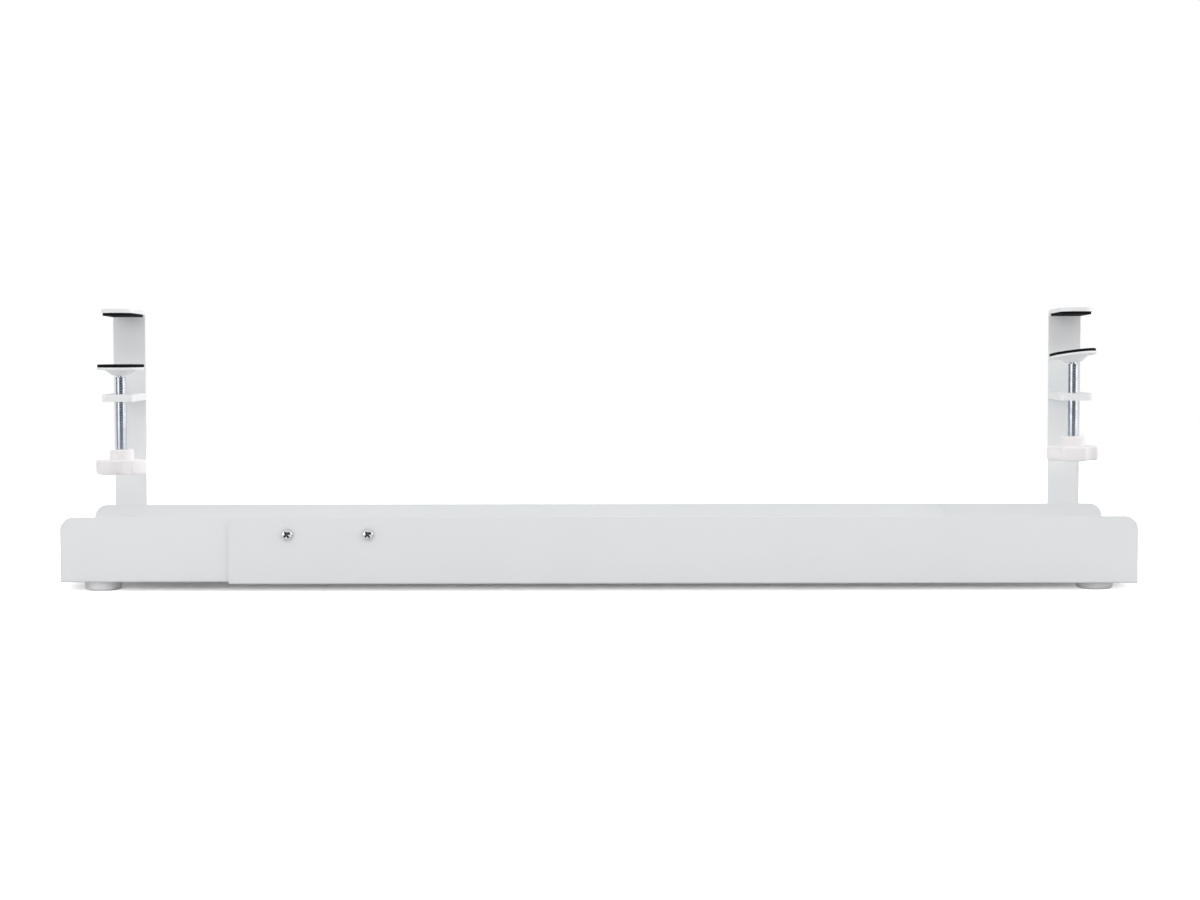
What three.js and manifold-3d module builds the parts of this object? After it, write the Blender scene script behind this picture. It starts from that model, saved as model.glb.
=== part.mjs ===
// Clamp-on cable tray that hangs under the rear edge of a desk. Two nested open-ended
// channels telescope to set the width, and a screw clamp stands behind each end.
// Millimetres, +X along the tray, -Y towards the front wall, +Z up, feet on z = 0.
import * as THREE from 'three';
import { mergeVertices } from 'three/addons/utils/BufferGeometryUtils.js';
import Module from 'manifold-3d';

const wasm = await Module();
wasm.setup();

// Channels: folded sheet, open at both ends and at the top.
const TRAY_LENGTH = 800;
const SECTION_LENGTH = 675;
const TRAY_DEPTH = 125;
const WALL_HEIGHT = 50;
const SHEET = 1.2;
const SLIDE_GAP = 0.3;
const FOLD_RADIUS = 1.5;
const WALL_CORNER_RADIUS = 10;

// Lock screws through the outer wall's round holes and the inner wall's long slot.
const LOCK_SCREW_X = [-231.5, -171.5];
const LOCK_DROP = 13;
const LOCK_HEAD_RADIUS = 4.1;
const LOCK_HEAD_HEIGHT = 2.8;
const SHANK_RADIUS = 2.5;
const SHANK_HOLE_RADIUS = 2.8;
const SLOT_HALF_WIDTH = 3;
const SLIDE_IN = 33;
const SLIDE_OUT = 400;
const WASHER_RADIUS = 5;
const WASHER_THICKNESS = 1;
const WASHER_GAP = 0.1;
const NUT_ACROSS_FLATS = 8;
const NUT_THICKNESS = 4;
const SHANK_PROUD = 1;
const SHANK_CHAMFER = 0.4;
const HEAD_RIM_SHARE = 0.35;
const CROSS_LENGTH = 4.6;
const CROSS_WIDTH = 0.9;
const CROSS_DEPTH = 1.2;

// Feet: flat discs under the four corners. The inner channel's pair is taller by the height
// that channel is raised, so all four stand on one plane.
const FOOT_RADIUS = 13.5;
const FOOT_HEIGHT = 5.5;
const FOOT_EDGE_RADIUS = 2;
const FOOT_X = 372;
const FOOT_INSET = 20;

// Clamp brackets: a strip bolted upright behind the rear wall, its top bent forward.
const CLAMP_X = { left: -371.4, right: 369.4 };
const STRIP_WIDTH = 25;
const STRIP_THICKNESS = 3;
const STRIP_INNER_BEND = 2.5;
const STRIP_CORNER_RADIUS = 4;
const JAW_TOP = 209;
const JAW_LIFT = { left: 1.5, right: 1.9 };
const JAW_CORNER_RADIUS = 10;
const JAW_REACH = 52;
const COLUMN_FOOT_ABOVE_FLOOR = 3;
const COLUMN_BOLT_HEIGHTS = [13, 33];
const BOLT_HEAD_RADIUS = 4.75;
const BOLT_HEAD_HEIGHT = 2.75;
const BOLT_SOCKET_RADIUS = 1.75;
const BOLT_SOCKET_DEPTH = 1.6;

// Upper jaw pad.
const PAD_THICKNESS = 2;
const PAD_INSET = 0.8;
const PAD_BEND_CLEARANCE = 1.2;

// Threaded shelf that carries the clamp screw.
const SHELF_BOTTOM = 138.7;
const SHELF_THICKNESS = 5.5;
const SHELF_REACH = 48;
const SCREW_REACH = 34;
const SCREW_RADIUS = 4;
const SCREW_CLEARANCE = 0.3;

// Clamp screw head end: a ball on a short neck, turned down from the thread.
const BALL_CENTRE_Z = { left: 162, right: 171.4 };
const BALL_RADIUS = 2.6;
const NECK_RADIUS = 2.2;
const SHOULDER_BELOW_BALL = 4.4;
const SHOULDER_CHAMFER = 0.5;

// Nylon socket cup and snap ring, two thin bands concentric with the ball.
const CUP_RADII = [2.7, 3.3];
const CUP_ANGLES = [45, 122];
const RING_RADII = [3.4, 3.9];
const RING_ANGLES = [55, 128];

// Round pressure plate with its conical boss, heights measured from the ball centre.
const SOCKET_RADIUS = 4;
const SOCKET_MOUTH_RADIUS = 3.2;
const PLATE_RADIUS = 18.1;
const PLATE_TOP = 3.2;
const PLATE_THICKNESS = 2;
const BOSS_TOP_RADIUS = 12.4;
const BOSS_BOTTOM_RADIUS = 6.9;
const BOSS_BOTTOM = -3.1;
const LOWER_PAD_RADIUS = 17.9;
const LOWER_PAD_GAP = 0.1;

// The pressure plate's lean at rest, in degrees about X and then about the leaned Y.
const PLATE_LEAN = { left: [0, 0], right: [-5.8, -6.6] };

// Three-lobed knob with a round hub on top, heights measured down from the ball centre.
const KNOB_RADIUS = 20;
const KNOB_BOTTOM_BELOW_BALL = 80;
const KNOB_THICKNESS = 11.4;
const KNOB_EDGE = 2.4;
const KNOB_LOBES = 3;
const SCALLOP_RADIUS = 12;
const SCALLOP_CENTRE = 24.4;
const LOBE_CORNER_RADIUS = 2.6;
const HUB_RADIUS = 9.4;
const HUB_HEIGHT = 7.9;
const HUB_EDGE = 0.8;
const KNOB_FLOOR = 3;
const KNOB_TURN = { left: 90, right: -97 };

// Facets round a full turn, for large, medium and small circles.
const FINE = 48;
const MEDIUM = 32;
const SMALL = 24;

// Facets along one arc of each kind.
const FOLD_FACETS = 5;
const CORNER_FACETS = 8;
const BORE_FACETS = 12;
const LOBE_FACETS = 6;
const BALL_FACETS = 6;
const DOME_FACETS = 4;
const BAND_FACETS = 4;
const EDGE_FACETS = 3;
const HUB_EDGE_FACETS = 2;

// Overrun of a cutting solid past the surface that it cuts.
const CUT_MARGIN = 5;

const WHITE_STEEL = { color: 0xe4e5e6, roughness: 0.5, metalness: 0 };
const WHITE_PLASTIC = { color: 0xe9e8e8, roughness: 0.45, metalness: 0 };
const BLACK_RUBBER = { color: 0x1a1a1b, roughness: 0.85, metalness: 0 };
const ZINC = { color: 0xb9bcc0, roughness: 0.4, metalness: 1 };
const CHROME = { color: 0xc9cbcd, roughness: 0.2, metalness: 1 };
const NYLON = { color: 0xd9d7d0, roughness: 0.6, metalness: 0 };

// Levels and planes that follow from the sizes above.
const FRONT_FACE = -(TRAY_DEPTH + STRIP_THICKNESS + BOLT_HEAD_HEIGHT - LOCK_HEAD_HEIGHT) / 2;
const REAR_FACE = FRONT_FACE + TRAY_DEPTH;
const NEST_STEP = SHEET + SLIDE_GAP;
const OUTER_FLOOR = FOOT_HEIGHT;
const INNER_FLOOR = OUTER_FLOOR + NEST_STEP;
const WALL_TOP = OUTER_FLOOR + WALL_HEIGHT;
const LOCK_Z = WALL_TOP - LOCK_DROP;
const RIGHT_END = TRAY_LENGTH / 2;
const LEFT_END = -RIGHT_END;
const SLOT_START = LOCK_SCREW_X[0] - SLIDE_IN - SLOT_HALF_WIDTH;
const SLOT_END = LOCK_SCREW_X[1] + SLIDE_OUT + SLOT_HALF_WIDTH;
const COLUMN_FACE = { left: REAR_FACE - NEST_STEP, right: REAR_FACE };
const CHANNEL_FLOOR = { left: INNER_FLOOR, right: OUTER_FLOOR };
const JAW_UNDERSIDE = JAW_TOP - STRIP_THICKNESS;

const ALONG_X = new THREE.Matrix4().makeBasis(
  new THREE.Vector3(0, 1, 0),
  new THREE.Vector3(0, 0, 1),
  new THREE.Vector3(1, 0, 0),
);
const ALONG_Y = new THREE.Matrix4().makeBasis(
  new THREE.Vector3(-1, 0, 0),
  new THREE.Vector3(0, 0, 1),
  new THREE.Vector3(0, 1, 0),
);

const group = new THREE.Group();
group.name = 'clamp_on_cable_tray';

// A closed solid from a three.js geometry, ready for booleans.
function solid(geometry) {
  const bare = new THREE.BufferGeometry();
  bare.setAttribute('position', geometry.getAttribute('position').clone());
  if (geometry.index) {
    bare.setIndex(geometry.index.clone());
  }
  const merged = mergeVertices(bare, 1e-4);
  const vertProperties = new Float32Array(merged.getAttribute('position').array);
  const triVerts = new Uint32Array(merged.index.array);
  return new wasm.Manifold(new wasm.Mesh({ numProp: 3, vertProperties, triVerts }));
}

// Adds a solid to the group as one named, flat-shaded piece.
function piece(name, body, finish) {
  const mesh = body.getMesh();
  const geometry = new THREE.BufferGeometry();
  geometry.setAttribute('position', new THREE.BufferAttribute(new Float32Array(mesh.vertProperties), 3));
  geometry.setIndex(new THREE.BufferAttribute(new Uint32Array(mesh.triVerts), 1));
  const faceted = geometry.toNonIndexed();
  faceted.computeVertexNormals();
  const part = new THREE.Mesh(faceted, new THREE.MeshStandardMaterial(finish));
  part.name = name;
  group.add(part);
}

function extrude(shape, depth, facets) {
  return new THREE.ExtrudeGeometry(shape, { depth, bevelEnabled: false, curveSegments: facets });
}

// A rectangle from (left, low) to (right, high) with its own radius at each corner,
// given counter-clockwise from the lower left.
function roundedRectangle(left, low, right, high, radii) {
  const shape = new THREE.Shape();
  const corners = [
    [left, low, 180],
    [right, low, 270],
    [right, high, 0],
    [left, high, 90],
  ];
  corners.forEach(([x, y, startDegrees], index) => {
    const radius = radii[index];
    if (radius === 0) {
      if (index === 0) {
        shape.moveTo(x, y);
      } else {
        shape.lineTo(x, y);
      }
      return;
    }
    const inwardX = x === left ? radius : -radius;
    const inwardY = y === low ? radius : -radius;
    const start = THREE.MathUtils.degToRad(startDegrees);
    shape.absarc(x + inwardX, y + inwardY, radius, start, start + Math.PI / 2, false);
  });
  return shape;
}

function cylinderAlongY(radius, x, z, startY, length, facets) {
  const geometry = new THREE.CylinderGeometry(radius, radius, length, facets);
  geometry.translate(x, startY + length / 2, z);
  return solid(geometry);
}

function cylinderAlongZ(radius, x, y, startZ, length, facets) {
  const geometry = new THREE.CylinderGeometry(radius, radius, length, facets);
  geometry.rotateX(Math.PI / 2);
  geometry.translate(x, y, startZ + length / 2);
  return solid(geometry);
}

// A turned solid about its own Z axis from (radius, height) points, lowest outline point first.
function turned(points, facets) {
  const outline = points.map(([radius, height]) => new THREE.Vector2(radius, height));
  const geometry = new THREE.LatheGeometry(outline, facets);
  geometry.rotateX(Math.PI / 2);
  return solid(geometry);
}

// Points on an arc of the given radius about (0, 0), with angles in degrees from straight up.
function arcFromTop(radius, startDegrees, endDegrees, steps) {
  return Array.from({ length: steps + 1 }, (_, index) => {
    const share = index / steps;
    const angle = THREE.MathUtils.degToRad(startDegrees + (endDegrees - startDegrees) * share);
    return [radius * Math.sin(angle), radius * Math.cos(angle)];
  });
}

// Points on a quarter-round edge about a centre, with angles in degrees from outwards to up.
function edgeArc(centreRadius, centreHeight, radius, startDegrees, endDegrees, steps) {
  return Array.from({ length: steps + 1 }, (_, index) => {
    const share = index / steps;
    const angle = THREE.MathUtils.degToRad(startDegrees + (endDegrees - startDegrees) * share);
    return [centreRadius + radius * Math.cos(angle), centreHeight + radius * Math.sin(angle)];
  });
}

// One open-ended channel: a U of folded sheet with rounded upper corners on both walls.
// Both channels' walls end at one height, so the inner one's are lower by its raised floor.
function channel(startX, front, rear, floor) {
  const innerRadius = FOLD_RADIUS - SHEET;
  const foldZ = floor + FOLD_RADIUS;
  const profile = new THREE.Shape();
  profile.moveTo(front, WALL_TOP);
  profile.lineTo(front, foldZ);
  profile.absarc(front + FOLD_RADIUS, foldZ, FOLD_RADIUS, Math.PI, 1.5 * Math.PI, false);
  profile.absarc(rear - FOLD_RADIUS, foldZ, FOLD_RADIUS, 1.5 * Math.PI, 2 * Math.PI, false);
  profile.lineTo(rear, WALL_TOP);
  profile.lineTo(rear - SHEET, WALL_TOP);
  profile.absarc(rear - FOLD_RADIUS, foldZ, innerRadius, 2 * Math.PI, 1.5 * Math.PI, true);
  profile.absarc(front + FOLD_RADIUS, foldZ, innerRadius, 1.5 * Math.PI, Math.PI, true);
  profile.lineTo(front + SHEET, WALL_TOP);
  profile.closePath();
  const folded = extrude(profile, SECTION_LENGTH, FOLD_FACETS);
  folded.applyMatrix4(ALONG_X);
  folded.translate(startX, 0, 0);

  const radii = [0, 0, WALL_CORNER_RADIUS, WALL_CORNER_RADIUS];
  const endX = startX + SECTION_LENGTH;
  const side = roundedRectangle(-endX, floor - CUT_MARGIN, -startX, WALL_TOP, radii);
  const silhouette = extrude(side, rear - front + 2 * CUT_MARGIN, CORNER_FACETS);
  silhouette.applyMatrix4(ALONG_Y);
  silhouette.translate(0, front - CUT_MARGIN, 0);
  return solid(folded).intersect(solid(silhouette));
}

// The long slot through both walls of the inner channel.
function wallSlot() {
  const start = SLOT_START + SLOT_HALF_WIDTH;
  const end = SLOT_END - SLOT_HALF_WIDTH;
  const outline = new THREE.Shape();
  outline.absarc(-start, LOCK_Z, SLOT_HALF_WIDTH, -Math.PI / 2, Math.PI / 2, false);
  outline.absarc(-end, LOCK_Z, SLOT_HALF_WIDTH, Math.PI / 2, 1.5 * Math.PI, false);
  const cutter = extrude(outline, 2 * CUT_MARGIN, CORNER_FACETS);
  cutter.applyMatrix4(ALONG_Y);
  cutter.translate(0, FRONT_FACE - CUT_MARGIN, 0);
  return solid(cutter);
}

// Bolt holes of one clamp column, at the height of its channel.
function columnBoltHoles(side) {
  const holes = COLUMN_BOLT_HEIGHTS.map((height) => {
    const z = CHANNEL_FLOOR[side] + height;
    const startY = COLUMN_FACE[side] - CUT_MARGIN;
    return cylinderAlongY(SHANK_HOLE_RADIUS, CLAMP_X[side], z, startY, 2 * CUT_MARGIN, SMALL);
  });
  return holes.reduce((all, hole) => all.add(hole));
}

function addChannels() {
  const outerStart = RIGHT_END - SECTION_LENGTH;
  let outer = channel(outerStart, FRONT_FACE, REAR_FACE, OUTER_FLOOR);
  LOCK_SCREW_X.forEach((x) => {
    const startY = FRONT_FACE - CUT_MARGIN;
    const hole = cylinderAlongY(SHANK_HOLE_RADIUS, x, LOCK_Z, startY, 2 * CUT_MARGIN, SMALL);
    outer = outer.subtract(hole);
  });
  piece('outer_tray', outer.subtract(columnBoltHoles('right')), WHITE_STEEL);

  const inner = channel(LEFT_END, FRONT_FACE + NEST_STEP, REAR_FACE - NEST_STEP, INNER_FLOOR);
  piece('inner_tray', inner.subtract(wallSlot()).subtract(columnBoltHoles('left')), WHITE_STEEL);
}

// A low dome over a flat seat, as (radius, height) points from the seat to the crown.
function domeOutline(radius, height) {
  const rim = height * HEAD_RIM_SHARE;
  const rise = height - rim;
  const dome = Array.from({ length: DOME_FACETS + 1 }, (_, index) => {
    const angle = (index / DOME_FACETS) * (Math.PI / 2);
    return [radius * Math.cos(angle), rim + rise * Math.sin(angle)];
  });
  dome[DOME_FACETS][0] = 0;
  return dome;
}

// A domed-head screw along Z: head above z = 0, shank below it.
function domedScrew(headRadius, headHeight, shankLength) {
  const outline = [
    [0, -shankLength],
    [SHANK_RADIUS - SHANK_CHAMFER, -shankLength],
    [SHANK_RADIUS, -shankLength + SHANK_CHAMFER],
    [SHANK_RADIUS, 0],
    [headRadius, 0],
    ...domeOutline(headRadius, headHeight),
  ];
  return turned(outline, SMALL);
}

function crossRecess(headHeight) {
  const depth = CROSS_DEPTH + CUT_MARGIN;
  const bars = [
    new THREE.BoxGeometry(CROSS_LENGTH, CROSS_WIDTH, depth),
    new THREE.BoxGeometry(CROSS_WIDTH, CROSS_LENGTH, depth),
  ];
  const solids = bars.map((bar) => {
    bar.translate(0, 0, headHeight - CROSS_DEPTH + depth / 2);
    return solid(bar);
  });
  return solids[0].add(solids[1]);
}

function hexNut(thickness) {
  const cornerRadius = NUT_ACROSS_FLATS / Math.sqrt(3);
  const outline = new THREE.Shape();
  for (let corner = 0; corner < 6; corner += 1) {
    const angle = (corner * Math.PI) / 3;
    const x = cornerRadius * Math.cos(angle);
    const y = cornerRadius * Math.sin(angle);
    if (corner === 0) {
      outline.moveTo(x, y);
    } else {
      outline.lineTo(x, y);
    }
  }
  outline.closePath();
  const bore = new THREE.Path();
  bore.absarc(0, 0, SHANK_HOLE_RADIUS, 0, 2 * Math.PI, true);
  outline.holes.push(bore);
  return solid(extrude(outline, thickness, BORE_FACETS));
}

function flatWasher() {
  const outline = new THREE.Shape();
  outline.absarc(0, 0, WASHER_RADIUS, 0, 2 * Math.PI, false);
  const bore = new THREE.Path();
  bore.absarc(0, 0, SHANK_HOLE_RADIUS, 0, 2 * Math.PI, true);
  outline.holes.push(bore);
  return solid(extrude(outline, WASHER_THICKNESS, BORE_FACETS));
}

// Turns a piece built along +Z to face along -Y (front) or +Y (rear) and moves it there.
function facing(body, isFront, x, y, z) {
  return body.rotate([isFront ? 90 : -90, 0, 0]).translate([x, y, z]);
}

function addLockScrews() {
  const washerSeat = SHEET + SLIDE_GAP + SHEET + WASHER_GAP;
  const nutSeat = washerSeat + WASHER_THICKNESS;
  const shankLength = nutSeat + NUT_THICKNESS + SHANK_PROUD;
  const washerY = FRONT_FACE + washerSeat + WASHER_THICKNESS;
  const nutY = FRONT_FACE + nutSeat + NUT_THICKNESS;
  LOCK_SCREW_X.forEach((x, index) => {
    const number = index + 1;
    const screw = domedScrew(LOCK_HEAD_RADIUS, LOCK_HEAD_HEIGHT, shankLength);
    const recessed = screw.subtract(crossRecess(LOCK_HEAD_HEIGHT));
    piece(`lock_screw_${number}`, facing(recessed, true, x, FRONT_FACE, LOCK_Z), CHROME);
    piece(`lock_washer_${number}`, facing(flatWasher(), true, x, washerY, LOCK_Z), ZINC);
    piece(`lock_nut_${number}`, facing(hexNut(NUT_THICKNESS), true, x, nutY, LOCK_Z), ZINC);
  });
}

function addFeet() {
  ['left', 'right'].forEach((side) => {
    const x = side === 'left' ? -FOOT_X : FOOT_X;
    const height = CHANNEL_FLOOR[side];
    const edgeCentre = FOOT_RADIUS - FOOT_EDGE_RADIUS;
    ['front', 'rear'].forEach((row) => {
      const y = row === 'front' ? FRONT_FACE + FOOT_INSET : REAR_FACE - FOOT_INSET;
      const outline = [
        [0, 0],
        ...edgeArc(edgeCentre, FOOT_EDGE_RADIUS, FOOT_EDGE_RADIUS, -90, 0, EDGE_FACETS),
        [FOOT_RADIUS, height],
        [0, height],
      ];
      const foot = turned(outline, MEDIUM).translate([x, y, 0]);
      piece(`${side}_${row}_foot`, foot, WHITE_PLASTIC);
    });
  });
}

// Centre of the strip's bend, as (y, z).
function bendCentre(side) {
  const outerBend = STRIP_INNER_BEND + STRIP_THICKNESS;
  return [COLUMN_FACE[side] + STRIP_THICKNESS - outerBend, JAW_TOP - outerBend];
}

// The bent strip: upright column, outer bend and forward top plate with rounded corners.
// The bend stops short of a right angle, so the plate rises a little towards its front edge.
function bracketBody(side) {
  const face = COLUMN_FACE[side];
  const back = face + STRIP_THICKNESS;
  const low = CHANNEL_FLOOR[side] + COLUMN_FOOT_ABOVE_FLOOR;
  const outerBend = STRIP_INNER_BEND + STRIP_THICKNESS;
  const [bendY, bendZ] = bendCentre(side);
  const lift = THREE.MathUtils.degToRad(JAW_LIFT[side]);
  const bendEnd = Math.PI / 2 - lift;
  const tipRise = (bendY - face + JAW_REACH) * Math.tan(lift);
  const profile = new THREE.Shape();
  profile.moveTo(back, low);
  profile.absarc(bendY, bendZ, outerBend, 0, bendEnd, false);
  profile.lineTo(face - JAW_REACH, bendZ + outerBend / Math.cos(lift) + tipRise);
  profile.lineTo(face - JAW_REACH, bendZ + STRIP_INNER_BEND / Math.cos(lift) + tipRise);
  profile.absarc(bendY, bendZ, STRIP_INNER_BEND, bendEnd, 0, true);
  profile.lineTo(face, low);
  profile.closePath();
  const bent = extrude(profile, STRIP_WIDTH, CORNER_FACETS);
  bent.applyMatrix4(ALONG_X);
  bent.translate(CLAMP_X[side] - STRIP_WIDTH / 2, 0, 0);

  const left = CLAMP_X[side] - STRIP_WIDTH / 2;
  const right = CLAMP_X[side] + STRIP_WIDTH / 2;
  const nose = [JAW_CORNER_RADIUS, JAW_CORNER_RADIUS, 0, 0];
  const foot = [STRIP_CORNER_RADIUS, STRIP_CORNER_RADIUS, 0, 0];
  const plan = roundedRectangle(left, face - JAW_REACH, right, back + CUT_MARGIN, nose);
  const planPrism = extrude(plan, JAW_TOP + CUT_MARGIN, CORNER_FACETS);
  const elevation = roundedRectangle(-right, low, -left, JAW_TOP + CUT_MARGIN, foot);
  const elevationPrism = extrude(elevation, JAW_REACH + 2 * CUT_MARGIN, CORNER_FACETS);
  elevationPrism.applyMatrix4(ALONG_Y);
  elevationPrism.translate(0, face - JAW_REACH - CUT_MARGIN, 0);
  const trimmed = solid(bent).intersect(solid(planPrism)).intersect(solid(elevationPrism));
  return trimmed.subtract(columnBoltHoles(side));
}

function upperPadBody(side) {
  const face = COLUMN_FACE[side];
  const halfWidth = STRIP_WIDTH / 2 - PAD_INSET;
  const corner = JAW_CORNER_RADIUS - PAD_INSET;
  const front = face - JAW_REACH + PAD_INSET;
  const back = face - STRIP_INNER_BEND - PAD_BEND_CLEARANCE;
  const x = CLAMP_X[side];
  const plan = roundedRectangle(x - halfWidth, front, x + halfWidth, back, [corner, corner, 0, 0]);
  const geometry = extrude(plan, PAD_THICKNESS, CORNER_FACETS);
  const [bendY, bendZ] = bendCentre(side);
  geometry.translate(0, -bendY, JAW_UNDERSIDE - PAD_THICKNESS - bendZ);
  return solid(geometry).rotate([-JAW_LIFT[side], 0, 0]).translate([0, bendY, bendZ]);
}

function shelfBody(side) {
  const face = COLUMN_FACE[side];
  const x = CLAMP_X[side];
  const half = STRIP_WIDTH / 2;
  const corner = STRIP_CORNER_RADIUS;
  const plan = roundedRectangle(x - half, face - SHELF_REACH, x + half, face, [corner, corner, 0, 0]);
  const geometry = extrude(plan, SHELF_THICKNESS, CORNER_FACETS);
  geometry.translate(0, 0, SHELF_BOTTOM);
  const radius = SCREW_RADIUS + SCREW_CLEARANCE;
  const startZ = SHELF_BOTTOM - CUT_MARGIN;
  const length = SHELF_THICKNESS + 2 * CUT_MARGIN;
  const bore = cylinderAlongZ(radius, x, face - SCREW_REACH, startZ, length, MEDIUM);
  return solid(geometry).subtract(bore);
}

// Screw and ball in one turned piece, about the ball centre.
function clampScrewBody() {
  const neckAngle = 180 - THREE.MathUtils.radToDeg(Math.asin(NECK_RADIUS / BALL_RADIUS));
  const ball = arcFromTop(BALL_RADIUS, neckAngle, 0, BALL_FACETS);
  ball[ball.length - 1][0] = 0;
  const bottom = KNOB_FLOOR - KNOB_BOTTOM_BELOW_BALL;
  const outline = [
    [0, bottom],
    [SCREW_RADIUS - SHOULDER_CHAMFER, bottom],
    [SCREW_RADIUS, bottom + SHOULDER_CHAMFER],
    [SCREW_RADIUS, -SHOULDER_BELOW_BALL - SHOULDER_CHAMFER],
    [SCREW_RADIUS - SHOULDER_CHAMFER, -SHOULDER_BELOW_BALL],
    [NECK_RADIUS, -SHOULDER_BELOW_BALL],
    ...ball,
  ];
  return turned(outline, MEDIUM);
}

// A thin spherical band about the ball centre.
function bandBody(radii, angles) {
  const outer = arcFromTop(radii[1], angles[1], angles[0], BAND_FACETS);
  const inner = arcFromTop(radii[0], angles[0], angles[1], BAND_FACETS);
  return turned([...outer, ...inner, outer[0]], SMALL);
}

// Rim, conical boss and the round socket that holds the ball end.
function pressurePlateBody() {
  const lipAngle = 180 - THREE.MathUtils.radToDeg(Math.asin(SOCKET_MOUTH_RADIUS / SOCKET_RADIUS));
  const socket = arcFromTop(SOCKET_RADIUS, 90, lipAngle, EDGE_FACETS);
  const outline = [
    [SOCKET_MOUTH_RADIUS, BOSS_BOTTOM],
    [BOSS_BOTTOM_RADIUS, BOSS_BOTTOM],
    [BOSS_TOP_RADIUS, PLATE_TOP - PLATE_THICKNESS],
    [PLATE_RADIUS, PLATE_TOP - PLATE_THICKNESS],
    [PLATE_RADIUS, PLATE_TOP],
    [SOCKET_RADIUS, PLATE_TOP],
    ...socket,
    [SOCKET_MOUTH_RADIUS, BOSS_BOTTOM],
  ];
  return turned(outline, FINE);
}

// The knob's plan: a disc with three scallops, every corner eased by an arc.
function knobOutline() {
  const blendCentre = KNOB_RADIUS - LOBE_CORNER_RADIUS;
  const reach = SCALLOP_RADIUS + LOBE_CORNER_RADIUS;
  const squares = blendCentre ** 2 + SCALLOP_CENTRE ** 2 - reach ** 2;
  const blendAngle = Math.acos(squares / (2 * blendCentre * SCALLOP_CENTRE));
  const step = (2 * Math.PI) / KNOB_LOBES;
  const outline = new THREE.Shape();
  for (let lobe = 0; lobe < KNOB_LOBES; lobe += 1) {
    const lobeAngle = lobe * step;
    const scallopAngle = lobeAngle + step / 2;
    const firstBlend = lobeAngle - step / 2 + blendAngle;
    const lastBlend = scallopAngle - blendAngle;
    const blendX = blendCentre * Math.cos(lastBlend);
    const blendY = blendCentre * Math.sin(lastBlend);
    const scallopX = SCALLOP_CENTRE * Math.cos(scallopAngle);
    const scallopY = SCALLOP_CENTRE * Math.sin(scallopAngle);
    const towards = Math.atan2(scallopY - blendY, scallopX - blendX);
    const mirrored = 2 * scallopAngle - towards;
    const nextX = blendCentre * Math.cos(scallopAngle + blendAngle);
    const nextY = blendCentre * Math.sin(scallopAngle + blendAngle);
    outline.absarc(0, 0, KNOB_RADIUS, firstBlend, lastBlend, false);
    outline.absarc(blendX, blendY, LOBE_CORNER_RADIUS, lastBlend, towards, false);
    outline.absarc(scallopX, scallopY, SCALLOP_RADIUS, towards + Math.PI, mirrored + Math.PI, true);
    outline.absarc(nextX, nextY, LOBE_CORNER_RADIUS, mirrored, scallopAngle + blendAngle, false);
  }
  return outline;
}

// Lobed grip, round hub and the blind bore for the screw, about the ball centre.
function knobBody() {
  const gripGeometry = new THREE.ExtrudeGeometry(knobOutline(), {
    depth: KNOB_THICKNESS - 2 * KNOB_EDGE,
    bevelEnabled: true,
    bevelThickness: KNOB_EDGE,
    bevelSize: KNOB_EDGE,
    bevelOffset: -KNOB_EDGE,
    bevelSegments: EDGE_FACETS,
    curveSegments: LOBE_FACETS,
  });
  gripGeometry.translate(0, 0, KNOB_EDGE - KNOB_BOTTOM_BELOW_BALL);
  const hubTop = KNOB_THICKNESS + HUB_HEIGHT - KNOB_BOTTOM_BELOW_BALL;
  const hubStart = KNOB_EDGE - KNOB_BOTTOM_BELOW_BALL;
  const hub = turned([
    [0, hubStart],
    [HUB_RADIUS, hubStart],
    ...edgeArc(HUB_RADIUS - HUB_EDGE, hubTop - HUB_EDGE, HUB_EDGE, 0, 90, HUB_EDGE_FACETS),
    [0, hubTop],
  ], FINE);
  const boreRadius = SCREW_RADIUS + SCREW_CLEARANCE;
  const boreStart = KNOB_FLOOR - SCREW_CLEARANCE - KNOB_BOTTOM_BELOW_BALL;
  const boreLength = KNOB_THICKNESS + HUB_HEIGHT;
  const bore = cylinderAlongZ(boreRadius, 0, 0, boreStart, boreLength, MEDIUM);
  return solid(gripGeometry).add(hub).subtract(bore);
}

// Leans a solid built about the ball centre, in degrees about X and then about the leaned Y.
function leaned(body, aboutX, aboutY) {
  return body.rotate([0, aboutY, 0]).rotate([aboutX, 0, 0]);
}

function addClamp(side) {
  const face = COLUMN_FACE[side];
  const ballAt = [CLAMP_X[side], face - SCREW_REACH, BALL_CENTRE_Z[side]];
  const [leanX, leanY] = PLATE_LEAN[side];
  piece(`${side}_clamp_bracket`, bracketBody(side), WHITE_STEEL);
  piece(`${side}_upper_pad`, upperPadBody(side), BLACK_RUBBER);
  piece(`${side}_threaded_shelf`, shelfBody(side), WHITE_STEEL);
  piece(`${side}_clamp_screw`, clampScrewBody().translate(ballAt), ZINC);
  const knob = knobBody().rotate([0, 0, KNOB_TURN[side]]);
  piece(`${side}_knob`, knob.translate(ballAt), WHITE_PLASTIC);
  piece(`${side}_socket_cup`, bandBody(CUP_RADII, CUP_ANGLES).translate(ballAt), NYLON);
  const ring = leaned(bandBody(RING_RADII, RING_ANGLES), leanX, 0);
  piece(`${side}_snap_ring`, ring.translate(ballAt), ZINC);
  const plate = leaned(pressurePlateBody(), leanX, leanY);
  piece(`${side}_pressure_plate`, plate.translate(ballAt), WHITE_STEEL);
  const padBottom = PLATE_TOP + LOWER_PAD_GAP;
  const disc = cylinderAlongZ(LOWER_PAD_RADIUS, 0, 0, padBottom, PAD_THICKNESS, FINE);
  piece(`${side}_lower_pad`, leaned(disc, leanX, leanY).translate(ballAt), BLACK_RUBBER);
}

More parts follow.
